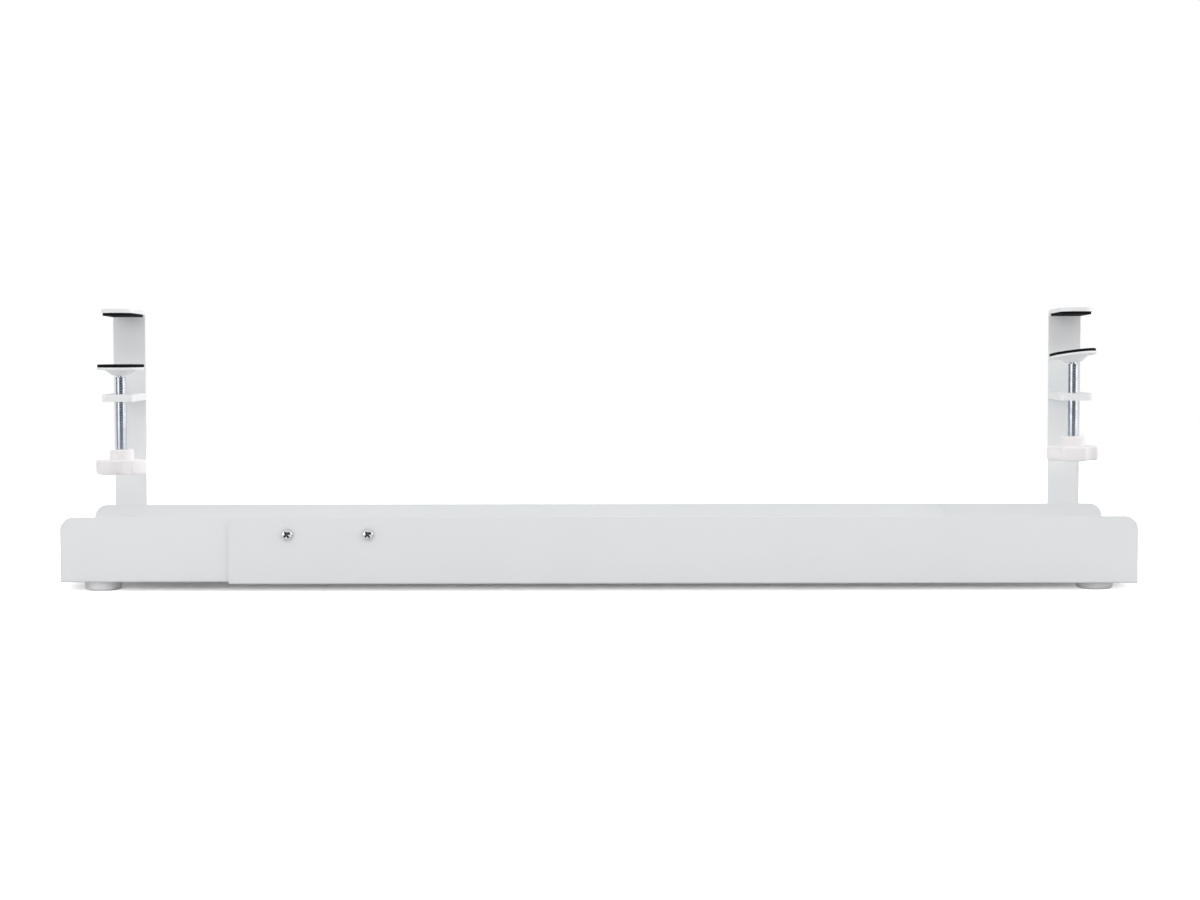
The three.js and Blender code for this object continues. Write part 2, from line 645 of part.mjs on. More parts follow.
// Two bolts and nuts per column, heads behind the strip and nuts inside the channel.
function addColumnBolts(side) {
  const face = COLUMN_FACE[side];
  const back = face + STRIP_THICKNESS;
  const nutY = face - SHEET - NUT_THICKNESS;
  const shankLength = STRIP_THICKNESS + SHEET + NUT_THICKNESS + SHANK_PROUD;
  const socketStart = BOLT_HEAD_HEIGHT - BOLT_SOCKET_DEPTH;
  COLUMN_BOLT_HEIGHTS.forEach((height, index) => {
    const z = CHANNEL_FLOOR[side] + height;
    const number = index + 1;
    const socket = cylinderAlongZ(BOLT_SOCKET_RADIUS, 0, 0, socketStart, CUT_MARGIN, 6);
    const bolt = domedScrew(BOLT_HEAD_RADIUS, BOLT_HEAD_HEIGHT, shankLength).subtract(socket);
    piece(`${side}_column_bolt_${number}`, facing(bolt, false, CLAMP_X[side], back, z), ZINC);
    const nut = facing(hexNut(NUT_THICKNESS), false, CLAMP_X[side], nutY, z);
    piece(`${side}_column_nut_${number}`, nut, ZINC);
  });
}

addChannels();
addLockScrews();
addFeet();
['left', 'right'].forEach((side) => {
  addClamp(side);
  addColumnBolts(side);
});

export default group;
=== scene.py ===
"""Looks of the clamp-on cable tray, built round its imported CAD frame. Metres, row frame."""
import math

import bmesh
import bpy
from mathutils import Matrix, Vector


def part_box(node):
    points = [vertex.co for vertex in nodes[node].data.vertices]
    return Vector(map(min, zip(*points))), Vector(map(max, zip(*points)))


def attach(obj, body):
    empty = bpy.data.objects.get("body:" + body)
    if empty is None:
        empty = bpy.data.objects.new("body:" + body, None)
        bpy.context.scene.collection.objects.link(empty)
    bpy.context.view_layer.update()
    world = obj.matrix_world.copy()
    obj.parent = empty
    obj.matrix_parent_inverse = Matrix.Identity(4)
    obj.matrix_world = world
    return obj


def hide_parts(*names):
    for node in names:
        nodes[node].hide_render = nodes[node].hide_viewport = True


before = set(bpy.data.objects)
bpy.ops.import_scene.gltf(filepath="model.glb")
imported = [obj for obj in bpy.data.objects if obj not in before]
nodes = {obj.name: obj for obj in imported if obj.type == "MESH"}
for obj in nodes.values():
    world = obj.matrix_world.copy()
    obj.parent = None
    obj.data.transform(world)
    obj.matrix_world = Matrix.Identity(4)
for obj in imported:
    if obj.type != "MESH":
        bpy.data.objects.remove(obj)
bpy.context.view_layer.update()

MM = 0.001
SIDES = ("left", "right")
FOOT_ROWS = ("front", "rear")
BODY = {"left": "inner_section", "right": "outer_section"}

SMOOTH_ANGLE = math.radians(32)
THREAD_SMOOTH_ANGLE = math.radians(20)
SCREW_SMOOTH_ANGLE = math.radians(40)
BEVEL_ANGLE = math.radians(30)
FLAT_ANGLE = math.radians(0.4)
WELD_DISTANCE = 0.001 * MM
POLE_RADIUS = 0.0001 * MM
CUT_CLEARANCE = 0.01 * MM


# ---------------------------------------------------------------- mesh helpers

def new_piece(name, mesh, material, body, replaces=()):
    """Links a mesh as one piece that rides on a body and stands for CAD nodes."""
    obj = bpy.data.objects.new(name, mesh)
    bpy.context.scene.collection.objects.link(obj)
    mesh.materials.append(material)
    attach(obj, body)
    if replaces:
        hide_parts(*replaces)
    return obj


def smooth_mesh(mesh, angle=SMOOTH_ANGLE):
    """The mesh shaded smooth except across edges sharper than angle."""
    for face in mesh.polygons:
        face.use_smooth = True
    mesh.set_sharp_from_angle(angle=angle)
    return mesh


def finish_bmesh(bm, name, angle=SMOOTH_ANGLE):
    """A mesh from bm, faces outwards, smooth except across edges sharper than angle."""
    bmesh.ops.recalc_face_normals(bm, faces=bm.faces)
    for face in bm.faces:
        face.smooth = True
    for edge in bm.edges:
        if len(edge.link_faces) == 2 and edge.calc_face_angle(0) > angle:
            edge.smooth = False
    mesh = bpy.data.meshes.new(name)
    bm.to_mesh(mesh)
    bm.free()
    return mesh


def lathe(outline, segments, close=False):
    """A bmesh turned about Z from (radius, height) points; points on the axis become poles."""
    bm = bmesh.new()
    rings = []
    for radius, height in outline:
        if radius < POLE_RADIUS:
            rings.append([bm.verts.new((0, 0, height))])
            continue
        ring = []
        for k in range(segments):
            turn = 2 * math.pi * k / segments
            ring.append(bm.verts.new((radius * math.cos(turn), radius * math.sin(turn), height)))
        rings.append(ring)
    pairs = list(zip(rings, rings[1:]))
    if close:
        pairs.append((rings[-1], rings[0]))
    for low, high in pairs:
        for k in range(segments):
            n = (k + 1) % segments
            if len(low) == 1 and len(high) == 1:
                continue
            if len(low) == 1:
                bm.faces.new((low[0], high[n], high[k]))
            elif len(high) == 1:
                bm.faces.new((low[k], low[n], high[0]))
            else:
                bm.faces.new((low[k], low[n], high[n], high[k]))
    return bm


def lathe_into(bm, outline, segments):
    """Adds a turned shape about Z to bm."""
    part = lathe(outline, segments)
    bmesh.ops.recalc_face_normals(part, faces=part.faces)
    scratch = bpy.data.meshes.new("scratch")
    part.to_mesh(scratch)
    part.free()
    bm.from_mesh(scratch)
    bpy.data.meshes.remove(scratch)


def stack(rings):
    """A closed bmesh from rings of (x, y, z) points that all have the same count."""
    bm = bmesh.new()
    loops = [[bm.verts.new(point) for point in ring] for ring in rings]
    count = len(loops[0])
    for low, high in zip(loops, loops[1:]):
        for k in range(count):
            n = (k + 1) % count
            bm.faces.new((low[k], low[n], high[n], high[k]))
    bm.faces.new(list(reversed(loops[0])))
    bm.faces.new(loops[-1])
    return bm


def prism(outline, low, high):
    """A bmesh of a closed (x, y) outline raised from low to high."""
    return stack([[(x, y, z) for x, y in outline] for z in (low, high)])


def arc(cx, cy, radius, start, end, steps):
    """Points on an arc, angles in degrees, both ends included."""
    points = []
    for k in range(steps + 1):
        a = math.radians(start + (end - start) * k / steps)
        points.append((cx + radius * math.cos(a), cy + radius * math.sin(a)))
    return points


def hexagon(corner_radius):
    """The corners of a hexagon round the origin."""
    return arc(0, 0, corner_radius, 0, 300, 5)


def inset(points, distance):
    """Each point of a closed outline moved inwards along its corner's normal."""
    moved = []
    count = len(points)
    for k, (x, y) in enumerate(points):
        ax, ay = points[k - 1]
        bx, by = points[(k + 1) % count]
        tx, ty = bx - ax, by - ay
        length = math.hypot(tx, ty)
        moved.append((x - ty / length * distance, y + tx / length * distance))
    return moved


def cut(mesh, cutter_bm, name):
    """The mesh with a cutter taken out of it."""
    target = bpy.data.objects.new("cut_target", mesh)
    cutter_mesh = bpy.data.meshes.new("cutter")
    bmesh.ops.recalc_face_normals(cutter_bm, faces=cutter_bm.faces)
    cutter_bm.to_mesh(cutter_mesh)
    cutter_bm.free()
    cutter = bpy.data.objects.new("cutter", cutter_mesh)
    for obj in (target, cutter):
        bpy.context.scene.collection.objects.link(obj)
    modifier = target.modifiers.new("cut", "BOOLEAN")
    modifier.operation = "DIFFERENCE"
    modifier.solver = "EXACT"
    modifier.object = cutter
    graph = bpy.context.evaluated_depsgraph_get()
    result = bpy.data.meshes.new_from_object(target.evaluated_get(graph))
    for obj, data in ((target, mesh), (cutter, cutter_mesh)):
        bpy.data.objects.remove(obj)
        bpy.data.meshes.remove(data)
    result.name = name
    return result


def soften(obj, width, segments):
    """Rounds a CAD node's sharp edges as a moulding, coating or sheet edge is rounded."""
    merge = obj.modifiers.new("merge", "WELD")
    merge.merge_threshold = WELD_DISTANCE
    flat = obj.modifiers.new("flat", "DECIMATE")
    flat.decimate_type = "DISSOLVE"
    flat.angle_limit = FLAT_ANGLE
    bevel = obj.modifiers.new("edges", "BEVEL")
    bevel.width = width
    bevel.segments = segments
    bevel.limit_method = "ANGLE"
    bevel.angle_limit = BEVEL_ANGLE
    bevel.miter_outer = "MITER_ARC"
    smooth_mesh(obj.data)
    level = obj.modifiers.new("level", "WEIGHTED_NORMAL")
    level.mode = "FACE_AREA"
    level.weight = 100
    level.keep_sharp = False


# ---------------------------------------------------------------- node helpers

def node_material(name):
    """A new material with its node tree and its Principled shader."""
    material = bpy.data.materials.new(name)
    material.use_nodes = True
    tree = material.node_tree
    tree.nodes.clear()
    out = tree.nodes.new("ShaderNodeOutputMaterial")
    shader = tree.nodes.new("ShaderNodeBsdfPrincipled")
    tree.links.new(shader.outputs["BSDF"], out.inputs["Surface"])
    return material, tree, shader


def noise(tree, scale, detail=3.0, roughness=0.5, stretch=(1, 1, 1)):
    """Object-space noise; scale is in features per metre."""
    coords = tree.nodes.new("ShaderNodeTexCoord")
    mapping = tree.nodes.new("ShaderNodeMapping")
    mapping.inputs["Scale"].default_value = stretch
    tree.links.new(coords.outputs["Object"], mapping.inputs["Vector"])
    texture = tree.nodes.new("ShaderNodeTexNoise")
    texture.inputs["Scale"].default_value = scale
    texture.inputs["Detail"].default_value = detail
    texture.inputs["Roughness"].default_value = roughness
    tree.links.new(mapping.outputs["Vector"], texture.inputs["Vector"])
    return texture.outputs["Fac"]


def ramp(tree, factor, stops):
    """A colour ramp; stops are (position, colour or grey)."""
    node = tree.nodes.new("ShaderNodeValToRGB")
    elements = node.color_ramp.elements
    elements.remove(elements[1])
    elements[0].position = stops[0][0]
    for index, (position, value) in enumerate(stops):
        element = elements.new(position) if index else elements[0]
        colour = value if isinstance(value, tuple) else (value, value, value)
        element.color = (*colour, 1)
    tree.links.new(factor, node.inputs["Fac"])
    return node.outputs["Color"]


def bump(tree, shader, layers):
    """Chains bump layers of (height output, distance in metres, strength) into the shader."""
    normal = None
    for height, distance, strength in layers:
        node = tree.nodes.new("ShaderNodeBump")
        node.inputs["Distance"].default_value = distance
        node.inputs["Strength"].default_value = strength
        tree.links.new(height, node.inputs["Height"])
        if normal is not None:
            tree.links.new(normal, node.inputs["Normal"])
        normal = node.outputs["Normal"]
    tree.links.new(normal, shader.inputs["Normal"])


def colour_from(tree, shader, factor, stops):
    """Drives the shader's colour through a ramp."""
    tree.links.new(ramp(tree, factor, stops), shader.inputs["Base Color"])


def roughness_from(tree, shader, factor, stops):
    """Drives the shader's roughness through a ramp."""
    tree.links.new(ramp(tree, factor, stops), shader.inputs["Roughness"])


def translucency(shader, weight, radius, scale):
    """Lets light a little way into a plastic; radius is per colour, in metres at scale 1."""
    shader.inputs["Subsurface Weight"].default_value = weight
    shader.inputs["Subsurface Radius"].default_value = radius
    shader.inputs["Subsurface Scale"].default_value = scale


# ---------------------------------------------------------------- materials

COAT_TINT = (0.985, 1.0, 1.008)
COAT_CLOUD = 0.985


def powder_coat(name, tone):
    """White powder coat: orange peel about a millimetre across over a fine grain."""
    material, tree, shader = node_material(name)
    light = tuple(c * tone for c in COAT_TINT)
    dark = tuple(c * COAT_CLOUD for c in light)
    cloud = noise(tree, scale=14, detail=2.0)
    colour_from(tree, shader, cloud, [(0.3, dark), (0.7, light)])
    peel = noise(tree, scale=950, detail=2.0, roughness=0.45)
    grain = noise(tree, scale=3800, detail=2.0, roughness=0.6)
    roughness_from(tree, shader, grain, [(0.25, 0.36), (0.75, 0.5)])
    shader.inputs["Specular IOR Level"].default_value = 0.42
    bump(tree, shader, [(peel, 0.12 * MM, 0.22), (grain, 0.03 * MM, 0.25)])
    return material


def knob_plastic():
    """Satin moulded plastic, faintly warm, with a fine spark-eroded texture."""
    material, tree, shader = node_material("white_plastic")
    cloud = noise(tree, scale=40, detail=2.0)
    colour_from(tree, shader, cloud, [(0.3, (0.80, 0.775, 0.78)), (0.7, (0.825, 0.80, 0.803))])
    texture = noise(tree, scale=2600, detail=3.0, roughness=0.6)
    roughness_from(tree, shader, texture, [(0.25, 0.38), (0.75, 0.55)])
    translucency(shader, weight=0.08, radius=(0.002, 0.0015, 0.0012), scale=0.5)
    bump(tree, shader, [(texture, 0.04 * MM, 0.3)])
    return material


def foot_plastic():
    """Soft milky plastic, duller than the knobs."""
    material, tree, shader = node_material("white_foot")
    cloud = noise(tree, scale=60, detail=2.0)
    colour_from(tree, shader, cloud, [(0.3, (0.94, 0.94, 0.945)), (0.7, (0.965, 0.965, 0.97))])
    texture = noise(tree, scale=1800, detail=3.0, roughness=0.6)
    roughness_from(tree, shader, texture, [(0.25, 0.5), (0.75, 0.68)])
    translucency(shader, weight=0.6, radius=(0.003, 0.003, 0.003), scale=1.0)
    bump(tree, shader, [(texture, 0.05 * MM, 0.35)])
    return material


def foam_rubber():
    """Black closed-cell rubber: small pits, and a dusty bloom in faint patches."""
    material, tree, shader = node_material("black_rubber")
    coords = tree.nodes.new("ShaderNodeTexCoord")
    cells = tree.nodes.new("ShaderNodeTexVoronoi")
    cells.inputs["Scale"].default_value = 1700
    tree.links.new(coords.outputs["Object"], cells.inputs["Vector"])
    fine = noise(tree, scale=2600, detail=4.0, roughness=0.65)
    colour_from(tree, shader, fine, [(0.3, (0.004, 0.004, 0.004)), (0.8, (0.013, 0.013, 0.014))])
    roughness_from(tree, shader, fine, [(0.2, 0.72), (0.8, 0.92)])
    shader.inputs["Specular IOR Level"].default_value = 0.07
    bump(tree, shader, [(cells.outputs["Distance"], 0.18 * MM, 0.5), (fine, 0.06 * MM, 0.4)])
    return material


# Painted shade: the colour and reach of the darkening put into narrow recesses such as driver slots.
RECESS_SHADE_REACH = 3 * MM
PAINTED_RECESS_SHADE = (0.06, 0.06, 0.065, 1)


def paint_recess_shade(tree, plate):
    """The plate's colour with painted shade: dark where the surface about it closes in."""
    openness = tree.nodes.new("ShaderNodeAmbientOcclusion")
    openness.inputs["Distance"].default_value = RECESS_SHADE_REACH
    shaded_plate = tree.nodes.new("ShaderNodeMix")
    shaded_plate.data_type = "RGBA"
    shaded_plate.inputs["A"].default_value = PAINTED_RECESS_SHADE
    tree.links.new(plate, shaded_plate.inputs["B"])
    share = ramp(tree, openness.outputs["AO"], [(0.5, 0.0), (0.8, 1.0)])
    tree.links.new(share, shaded_plate.inputs["Factor"])
    return shaded_plate.outputs["Result"]


def plated_steel(name, low, high, roughness, stretch, shade_recesses=False):
    """Zinc or nickel plate: faint drawn lines, a mottled brightness and, with shade_recesses, painted
    shade in its recesses.
    """
    material, tree, shader = node_material(name)
    cloud = noise(tree, scale=220)
    plate = ramp(tree, cloud, [(0.3, low), (0.7, high)])
    if shade_recesses:
        plate = paint_recess_shade(tree, plate)
    tree.links.new(plate, shader.inputs["Base Color"])
    lines = noise(tree, scale=900, detail=2.0, roughness=0.6, stretch=stretch)
    roughness_from(tree, shader, lines, [(0.3, roughness * 0.75), (0.7, roughness * 1.35)])
    shader.inputs["Metallic"].default_value = 1.0
    bump(tree, shader, [(lines, 0.01 * MM, 0.2)])
    return material


def nylon():
    """Natural nylon, slightly yellow."""
    material, tree, shader = node_material("nylon")
    cloud = noise(tree, scale=500, detail=2.0)
    colour_from(tree, shader, cloud, [(0.3, (0.72, 0.70, 0.64)), (0.7, (0.78, 0.76, 0.70))])
    roughness_from(tree, shader, cloud, [(0.2, 0.4), (0.8, 0.6)])
    return material


COAT = powder_coat("white_powder_coat", 0.78)
COAT_INNER = powder_coat("white_powder_coat_inner", 0.79)
# Painted light: the clamps have the trays' white coat, made lighter to stand in for the light that falls
# on their columns.
COAT_CLAMP_LIT = powder_coat("white_powder_coat_clamp_lit", 0.81)
PLASTIC = knob_plastic()
FOOT = foot_plastic()
RUBBER = foam_rubber()
ZINC = plated_steel("zinc_plate", (0.62, 0.65, 0.70), (0.74, 0.77, 0.82), 0.09, (1, 1, 0.08))
# The screw heads' plate has painted shade in its driver recesses.
CHROME = plated_steel(
    "nickel_chrome", (0.80, 0.81, 0.82), (0.88, 0.885, 0.89), 0.1, (1, 1, 1), shade_recesses=True,
)
NYLON = nylon()


# ---------------------------------------------------------------- pieces kept from CAD

CHANNEL_EDGE = 0.30 * MM
STRIP_EDGE = 0.5 * MM
SHELF_EDGE = 0.6 * MM
PAD_EDGE = 0.25 * MM


def paint(node, material):
    """Gives a CAD node a material and returns its object."""
    obj = nodes[node]
    obj.data.materials.clear()
    obj.data.materials.append(material)
    return obj


def dress(node, material, edge, segments=3):
    """Gives a CAD node a material and rounded edges."""
    soften(paint(node, material), edge, segments)


def dress_turned(node, material):
    """Gives a turned CAD node a material and smooth sides."""
    smooth_mesh(paint(node, material).data)


dress("outer_tray", COAT, CHANNEL_EDGE)
dress("inner_tray", COAT_INNER, CHANNEL_EDGE)
for side in SIDES:
    dress(f"{side}_clamp_bracket", COAT_CLAMP_LIT, STRIP_EDGE)
    dress(f"{side}_threaded_shelf", COAT_CLAMP_LIT, SHELF_EDGE)
    dress(f"{side}_upper_pad", RUBBER, PAD_EDGE, 2)
    dress_turned(f"{side}_socket_cup", NYLON)
    dress_turned(f"{side}_snap_ring", ZINC)


# ---------------------------------------------------------------- clamp screws

SCREW_RADIUS = 3.98 * MM
BALL_RADIUS = 2.6 * MM
BALL_NECK_ANGLE = 32
NECK_RADIUS = 2.2 * MM
NECK_TOP_DROP = 1.4 * MM
SHOULDER_DROP = 4.4 * MM
SHOULDER_CHAMFER = 0.5 * MM
SHOULDER_CHAMFER_DROP = 0.45 * MM
ROD_SEGMENTS = 48

THREAD_PITCH = 1.25 * MM
THREAD_DEPTH = 0.22 * MM
THREAD_PROFILE = (0.0, 0.0, 0.0, 0.0, 1.0, 0.9)
THREAD_RUN_OUT = 1.2 * MM
THREAD_TIP_SHARE = 0.2
THREAD_SEGMENTS = 40
THREAD_START = 0.2 * MM
THREAD_STOP = 0.5 * MM
THREAD_OVERLAP = 0.3 * MM

TIP_CHAMFER = 0.9 * MM
TIP_CHAMFER_TOP = (0.35 * MM, 0.6 * MM)
CORE_DEPTH = 0.5 * MM
CORE_STOP = 0.2 * MM


def screw_axis(side):
    """(x, y) of the clamp screw's centre line."""
    low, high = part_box(f"{side}_clamp_screw")
    centre = (low + high) / 2
    return centre.x, centre.y


def groove_depth(step, z, start, end):
    """Depth of the groove at one step of the profile; it runs out at both ends."""
    towards_top = (end - z) / THREAD_RUN_OUT
    towards_tip = (z - start) / THREAD_RUN_OUT + THREAD_TIP_SHARE
    fade = max(min(1.0, towards_top, towards_tip), 0.0)
    return THREAD_PROFILE[step] * THREAD_DEPTH * fade


def add_thread(bm, start, end):
    """Adds a right-hand thread's skin: each row climbs one pitch and meets the row a turn up."""
    steps = len(THREAD_PROFILE)
    rows = int((end - start) / THREAD_PITCH * steps)
    rings = []
    for row in range(rows + 1):
        ring = []
        for k in range(THREAD_SEGMENTS):
            share = k / THREAD_SEGMENTS
            z = min(start + (row / steps + share) * THREAD_PITCH, end)
            radius = SCREW_RADIUS - groove_depth(row % steps, z, start, end)
            turn = 2 * math.pi * share
            ring.append(bm.verts.new((radius * math.cos(turn), radius * math.sin(turn), z)))
        rings.append(ring)
    for row in range(rows):
        low, high = rings[row], rings[row + 1]
        for k in range(THREAD_SEGMENTS - 1):
            bm.faces.new((low[k], low[k + 1], high[k + 1], high[k]))
        if row + 1 + steps <= rows:
            next_low, next_high = rings[row + steps], rings[row + 1 + steps]
            bm.faces.new((low[-1], next_low[0], next_high[0], high[-1]))


def threaded_rod(side):
    """M8 clamp screw: chamfered tip, real thread, chamfered shoulder, neck and ball."""
    x, y = screw_axis(side)
    low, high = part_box(f"{side}_clamp_screw")
    ball_z = high.z - BALL_RADIUS
    shoulder_z = ball_z - SHOULDER_DROP
    end = shoulder_z - THREAD_STOP
    bm = bmesh.new()
    add_thread(bm, low.z + THREAD_START, end)
    head = [
        (SCREW_RADIUS, end - THREAD_OVERLAP),
        (SCREW_RADIUS, shoulder_z - SHOULDER_CHAMFER_DROP),
        (SCREW_RADIUS - SHOULDER_CHAMFER, shoulder_z),
        (NECK_RADIUS, shoulder_z),
        (NECK_RADIUS, ball_z - NECK_TOP_DROP),
    ]
    head += arc(0, ball_z, BALL_RADIUS, -BALL_NECK_ANGLE, 90, 11)
    lathe_into(bm, head, ROD_SEGMENTS)
    chamfer_in, chamfer_up = TIP_CHAMFER_TOP
    core = [
        (0, low.z),
        (SCREW_RADIUS - TIP_CHAMFER, low.z),
        (SCREW_RADIUS - chamfer_in, low.z + chamfer_up),
        (SCREW_RADIUS - CORE_DEPTH, end - CORE_STOP),
        (0, end),
    ]
    lathe_into(bm, core, THREAD_SEGMENTS)
    bm.transform(Matrix.Translation((x, y, 0)))
    mesh = finish_bmesh(bm, f"{side}_threaded_rod", THREAD_SMOOTH_ANGLE)
    new_piece(
        f"{side}_threaded_rod", mesh, ZINC, f"{side}_screw_and_knob",
        (f"{side}_clamp_screw",),
    )


# ---------------------------------------------------------------- knobs

KNOB_RADIUS = 19.98 * MM
KNOB_LOBES = 3
KNOB_TURN = {"left": 90, "right": -97}
KNOB_CORNER = 2.6 * MM
SCALLOP_RADIUS = 12 * MM
SCALLOP_CENTRE = 24.4 * MM
GRIP_HEIGHT = 11.4 * MM
GRIP_BOTTOM_EDGE = 2.4 * MM
GRIP_TOP_EDGE = 1.3 * MM

HUB_RADIUS = 9.4 * MM
HUB_EDGE = 1.4 * MM
HUB_FILLET = 0.7 * MM
HUB_ROOT = 0.5 * MM
HUB_HOLE_RADIUS = 4.3 * MM
HUB_HOLE_DEPTH = 3 * MM
HUB_HOLE_CHAMFER = (4.9 * MM, 4.35 * MM, 0.5 * MM)


def knob_outline():
    """The lobed plan of the grip, counter-clockwise: lobe, corner, scallop, corner."""
    blend = KNOB_RADIUS - KNOB_CORNER
    reach = SCALLOP_RADIUS + KNOB_CORNER
    cosine = (blend ** 2 + SCALLOP_CENTRE ** 2 - reach ** 2) / (2 * blend * SCALLOP_CENTRE)
    off = math.degrees(math.acos(cosine))
    half_lobe = 180 / KNOB_LOBES
    points = []
    for lobe in range(KNOB_LOBES):
        middle = lobe * 360 / KNOB_LOBES
        notch = middle + half_lobe
        first, last = middle - half_lobe + off, notch - off
        (last_x, last_y), (next_x, next_y) = arc(0, 0, blend, last, notch + off, 1)
        scallop_x, scallop_y = arc(0, 0, SCALLOP_CENTRE, notch, notch, 1)[0]
        towards = math.degrees(math.atan2(scallop_y - last_y, scallop_x - last_x))
        towards = last + (towards - last + 180) % 360 - 180
        mirrored = 2 * notch - towards
        points += arc(0, 0, KNOB_RADIUS, first, last, 16)[:-1]
        points += arc(last_x, last_y, KNOB_CORNER, last, towards, 10)[:-1]
        points += arc(scallop_x, scallop_y, SCALLOP_RADIUS, towards + 180, mirrored + 180, 18)[:-1]
        points += arc(next_x, next_y, KNOB_CORNER, mirrored, notch + off, 10)[:-1]
    return points


def knob_grip(base, grip_top):
    """The lobed grip, with a generous bottom edge and a crisper top edge."""
    outline = knob_outline()
    bottom = arc(GRIP_BOTTOM_EDGE, base + GRIP_BOTTOM_EDGE, GRIP_BOTTOM_EDGE, 270, 180, 6)
    top = arc(GRIP_TOP_EDGE, grip_top - GRIP_TOP_EDGE, GRIP_TOP_EDGE, 180, 90, 4)
    rings = []
    for distance, z in bottom + top:
        rings.append([(x, y, z) for x, y in inset(outline, distance)])
    return stack(rings)


def hub_outline(grip_top, hub_top):
    """The round hub above the grip, with a fillet at its foot and a shallow hole in its top."""
    mouth, throat, drop = HUB_HOLE_CHAMFER
    root = grip_top - HUB_ROOT
    outline = [(0, root), (HUB_RADIUS + HUB_FILLET, root)]
    outline += arc(HUB_RADIUS + HUB_FILLET, grip_top + HUB_FILLET, HUB_FILLET, 270, 180, 5)
    outline += arc(HUB_RADIUS - HUB_EDGE, hub_top - HUB_EDGE, HUB_EDGE, 0, 90, 5)
    outline += [(mouth, hub_top), (throat, hub_top - drop)]
    outline += [(HUB_HOLE_RADIUS, hub_top - HUB_HOLE_DEPTH), (0, hub_top - HUB_HOLE_DEPTH)]
    return outline


def knob(side):
    """Three-lobed moulded knob with its hub."""
    x, y = screw_axis(side)
    low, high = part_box(f"{side}_knob")
    grip_top = low.z + GRIP_HEIGHT
    bm = knob_grip(low.z, grip_top)
    bm.transform(Matrix.Rotation(math.radians(KNOB_TURN[side]), 4, "Z"))
    lathe_into(bm, hub_outline(grip_top, high.z), 96)
    bm.transform(Matrix.Translation((x, y, 0)))
    mesh = finish_bmesh(bm, f"{side}_star_knob")
    new_piece(
        f"{side}_star_knob", mesh, PLASTIC, f"{side}_screw_and_knob",
        (f"{side}_knob",),
    )


# ---------------------------------------------------------------- swivelling plates

PLATE_LEAN = {"left": (0.0, 0.0), "right": (-5.8, -6.6)}
RIM_RADIUS = 18.1 * MM
RIM_BOTTOM = 1.2 * MM
RIM_TOP = 3.2 * MM
RIM_EDGE = 0.5 * MM
BOSS_FOOT = -3.1 * MM
SOCKET_RADIUS = 4.0 * MM
ROUND_PAD_RADIUS = 17.9 * MM
ROUND_PAD_BOTTOM = 3.3 * MM
ROUND_PAD_TOP = 5.3 * MM
ROUND_PAD_EDGE = 0.35 * MM


def lean(side):
    """Places a piece built about the ball's centre, leaning as the plate does at rest."""
    x, y = screw_axis(side)
    ball = Vector((x, y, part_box(f"{side}_clamp_screw")[1].z - BALL_RADIUS))
    about_x, about_y = (math.radians(angle) for angle in PLATE_LEAN[side])
    tilt = Matrix.Rotation(about_x, 4, "X") @ Matrix.Rotation(about_y, 4, "Y")
    return Matrix.Translation(ball) @ tilt


def swivel_plate(side):
    """Pressed steel pressure plate: conical boss below, flat rim above, socket for the cup."""
    boss = [(3.2 * MM, BOSS_FOOT), (6.5 * MM, BOSS_FOOT)]
    boss += arc(6.4 * MM, BOSS_FOOT + 0.5 * MM, 0.5 * MM, 270, 322, 4)
    boss += [(11.6 * MM, 0.62 * MM)]
    boss += arc(12.75 * MM, 0.25 * MM, 0.95 * MM, 142, 90, 5)
    rim = arc(RIM_RADIUS - RIM_EDGE, RIM_BOTTOM + RIM_EDGE, RIM_EDGE, 270, 360, 5)
    rim += arc(RIM_RADIUS - RIM_EDGE, RIM_TOP - RIM_EDGE, RIM_EDGE, 0, 90, 5)
    socket = [
        (SOCKET_RADIUS, RIM_TOP), (SOCKET_RADIUS, 0),
        (3.9 * MM, -0.9 * MM), (3.6 * MM, -1.8 * MM), (3.2 * MM, -2.4 * MM),
    ]
    bm = lathe(boss + rim + socket, 96, close=True)
    bm.transform(lean(side))
    new_piece(
        f"{side}_swivel_plate", finish_bmesh(bm, f"{side}_swivel_plate"), COAT,
        f"{side}_swivel_pad", (f"{side}_pressure_plate",),
    )


def round_pad(side):
    """Round rubber pad glued on the pressure plate."""
    edge = ROUND_PAD_EDGE
    corner = ROUND_PAD_RADIUS - edge
    outline = [(0, ROUND_PAD_BOTTOM), (corner, ROUND_PAD_BOTTOM)]
    outline += arc(corner, ROUND_PAD_BOTTOM + edge, edge, 270, 360, 4)
    outline += arc(corner, ROUND_PAD_TOP - edge, edge, 0, 90, 4)
    outline += [(share * ROUND_PAD_RADIUS, ROUND_PAD_TOP) for share in (2 / 3, 1 / 3, 0)]
    bm = lathe(outline, 96)
    bm.transform(lean(side))
    new_piece(
        f"{side}_round_pad", finish_bmesh(bm, f"{side}_round_pad"), RUBBER,
        f"{side}_swivel_pad", (f"{side}_lower_pad",),
    )


for side in SIDES:
    threaded_rod(side)
    knob(side)
    swivel_plate(side)
    round_pad(side)


# ---------------------------------------------------------------- feet

FOOT_EDGE = 2.0 * MM
FOOT_TOP_EDGE = 0.4 * MM
FOOT_HOLLOW = 0.25 * MM
FOOT_HOLLOW_INSET = 4 * MM
FOOT_RIM_INSET = 3.6 * MM


